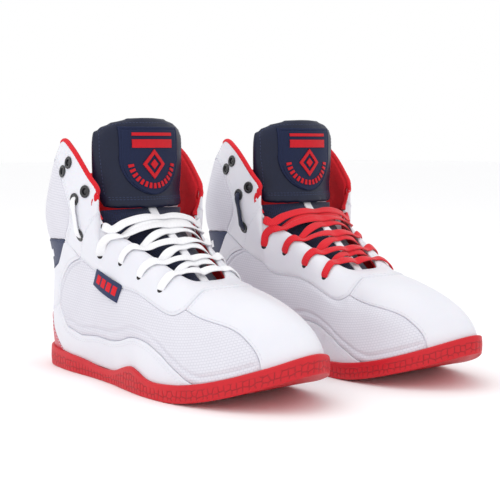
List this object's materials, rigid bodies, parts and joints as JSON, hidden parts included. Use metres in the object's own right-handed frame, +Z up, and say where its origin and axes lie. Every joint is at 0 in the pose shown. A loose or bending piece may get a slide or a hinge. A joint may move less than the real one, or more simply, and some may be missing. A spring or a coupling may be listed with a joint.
{
  "type": "boxing boots",
  "caption": "Pair of high-top lace-up boxing boots with cupped rubber soles, panelled leather uppers, lined ankle wings and padded tongues.",
  "frame": {"origin": "middle of the pair's bounding box, on the floor", "axes": "+Z up, toes towards -Y, heels towards +Y, the wearer's right boot at -X and left boot at +X"},
  "size_m": [0.2504, 0.303, 0.191],
  "materials": {
    "white_leather": "smooth satin white leather",
    "embossed_leather": "white leather with a fine woven emboss",
    "red_rubber": "moulded red rubber with a scale pattern on the wall",
    "pink_counter": "satin moulded counter",
    "red_lining": "padded textile lining and edge binding",
    "navy_leather": "padded smooth leather",
    "navy_textile": "woven textile",
    "navy_band": "woven heel band",
    "navy_foam": "cloth-topped foam insole",
    "white_lace": "flat woven lace",
    "red_lace": "flat woven lace",
    "navy_lace": "flat woven lace",
    "black_eyelet": "satin black enamel"
  },
  "bodies": {
    "right_wing_outer": {"right_wing_outer": "white_leather", "right_eyelet_outer_a": "black_eyelet", "right_eyelet_outer_b": "black_eyelet", "right_eyelet_outer_c": "black_eyelet", "right_eyelet_outer_d": "black_eyelet", "right_eyelet_outer_e": "black_eyelet", "right_ankle_lace_outer": "white_lace"},
    "right_wing_inner": {"right_wing_inner": "white_leather", "right_eyelet_inner_a": "black_eyelet", "right_eyelet_inner_b": "black_eyelet", "right_eyelet_inner_c": "black_eyelet", "right_eyelet_inner_d": "black_eyelet", "right_eyelet_inner_e": "black_eyelet", "right_ankle_lace_inner": "white_lace"},
    "right_tongue": {"right_tongue_top": "navy_leather"},
    "right_boot": {"right_outsole": "red_rubber", "right_sockliner": "navy_foam", "right_lining": "red_lining", "right_heel_counter": "pink_counter", "right_back_panel": "white_leather", "right_heel_band": "navy_band", "right_ankle_panel": "embossed_leather", "right_toe_cap": "white_leather", "right_facing": "white_leather", "right_quarter_outer": "embossed_leather", "right_foxing_outer": "white_leather", "right_quarter_inner": "embossed_leather", "right_foxing_inner": "white_leather", "right_tongue_lower": "navy_textile", "right_lace": "white_lace"},
    "left_wing_outer": {"left_wing_outer": "white_leather", "left_eyelet_outer_a": "black_eyelet", "left_eyelet_outer_b": "black_eyelet", "left_eyelet_outer_c": "black_eyelet", "left_eyelet_outer_d": "black_eyelet", "left_eyelet_outer_e": "black_eyelet", "left_ankle_lace_outer": "navy_lace"},
    "left_wing_inner": {"left_wing_inner": "white_leather", "left_eyelet_inner_a": "black_eyelet", "left_eyelet_inner_b": "black_eyelet", "left_eyelet_inner_c": "black_eyelet", "left_eyelet_inner_d": "black_eyelet", "left_eyelet_inner_e": "black_eyelet", "left_ankle_lace_inner": "navy_lace"},
    "left_tongue": {"left_tongue_top": "navy_leather"},
    "left_boot": {"left_outsole": "red_rubber", "left_sockliner": "navy_foam", "left_lining": "red_lining", "left_heel_counter": "pink_counter", "left_back_panel": "white_leather", "left_heel_band": "navy_band", "left_ankle_panel": "embossed_leather", "left_toe_cap": "white_leather", "left_facing": "white_leather", "left_quarter_outer": "embossed_leather", "left_foxing_outer": "white_leather", "left_quarter_inner": "embossed_leather", "left_foxing_inner": "white_leather", "left_tongue_lower": "navy_textile", "left_lace": "red_lace"}
  },
  "joints": [
    {"name": "left_boot_sideways", "type": "slide", "parent": "right_boot", "child": "left_boot", "axis": [1, 0, 0], "range_m": [0, 0.15]},
    {"name": "right_tongue_fold", "type": "hinge", "parent": "right_boot", "child": "right_tongue", "pos_m": [-0.0696, 0.049, 0.1246], "axis": [1, 0, 0], "range_deg": [-5, 12]},
    {"name": "left_tongue_fold", "type": "hinge", "parent": "left_boot", "child": "left_tongue", "pos_m": [0.0688, 0.027, 0.1246], "axis": [0.9985, -0.0552, 0], "range_deg": [-5, 12]},
    {"name": "right_wing_outer_open", "type": "hinge", "parent": "right_boot", "child": "right_wing_outer", "pos_m": [-0.1127, 0.0917, 0.0991], "axis": [-0.105, -0.3529, -0.9298], "range_deg": [0, 18]},
    {"name": "right_wing_inner_open", "type": "hinge", "parent": "right_boot", "child": "right_wing_inner", "pos_m": [-0.0277, 0.0916, 0.0991], "axis": [-0.087, 0.3541, 0.9312], "range_deg": [0, 15]},
    {"name": "left_wing_outer_open", "type": "hinge", "parent": "left_boot", "child": "left_wing_outer", "pos_m": [0.1141, 0.0673, 0.0991], "axis": [-0.085, 0.3571, 0.9302], "range_deg": [0, 18]},
    {"name": "left_wing_inner_open", "type": "hinge", "parent": "left_boot", "child": "left_wing_inner", "pos_m": [0.0292, 0.0718, 0.0991], "axis": [-0.106, -0.349, -0.9311], "range_deg": [0, 15]}
  ]
}
